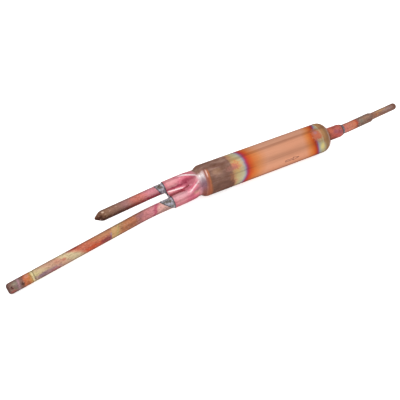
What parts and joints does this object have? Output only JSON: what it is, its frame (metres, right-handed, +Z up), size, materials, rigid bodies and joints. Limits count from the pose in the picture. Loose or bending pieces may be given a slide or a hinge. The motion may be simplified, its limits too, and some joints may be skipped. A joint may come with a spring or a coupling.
{
  "type": "filter drier",
  "caption": "Spun copper refrigerant filter drier: barrel with a pinched twin inlet neck, long inlet pipe, short charging pipe and a stepped outlet pipe, all ends sealed.",
  "frame": {"origin": "middle of the straight barrel, on its axis", "axes": "+X along the barrel towards the outlet, +Z up as it lies on a flat surface at z = -9.5 mm, the process pipe's side is +Y"},
  "size_m": [0.2671, 0.0306, 0.019],
  "materials": {
    "shell_copper": "heat-tinted bare copper, satin",
    "pipe_copper": "heat-tinted bare copper, satin",
    "braze": "grey silver braze with dull flux stains",
    "screen": "pressed steel",
    "gauze": "fine woven gauze",
    "beads": "matt molecular sieve beads"
  },
  "bodies": {
    "root": {"shell": "shell_copper", "inlet_pipe": "pipe_copper", "process_pipe": "pipe_copper", "outlet_pipe": "pipe_copper", "inlet_pipe_braze": "braze", "process_pipe_braze": "braze", "web_seam_braze": "braze", "outlet_pipe_braze": "braze", "inlet_screen_ring": "screen", "inlet_screen": "screen", "desiccant_bed": "beads", "outlet_screen_ring": "screen", "outlet_screen": "gauze"}
  },
  "joints": []
}
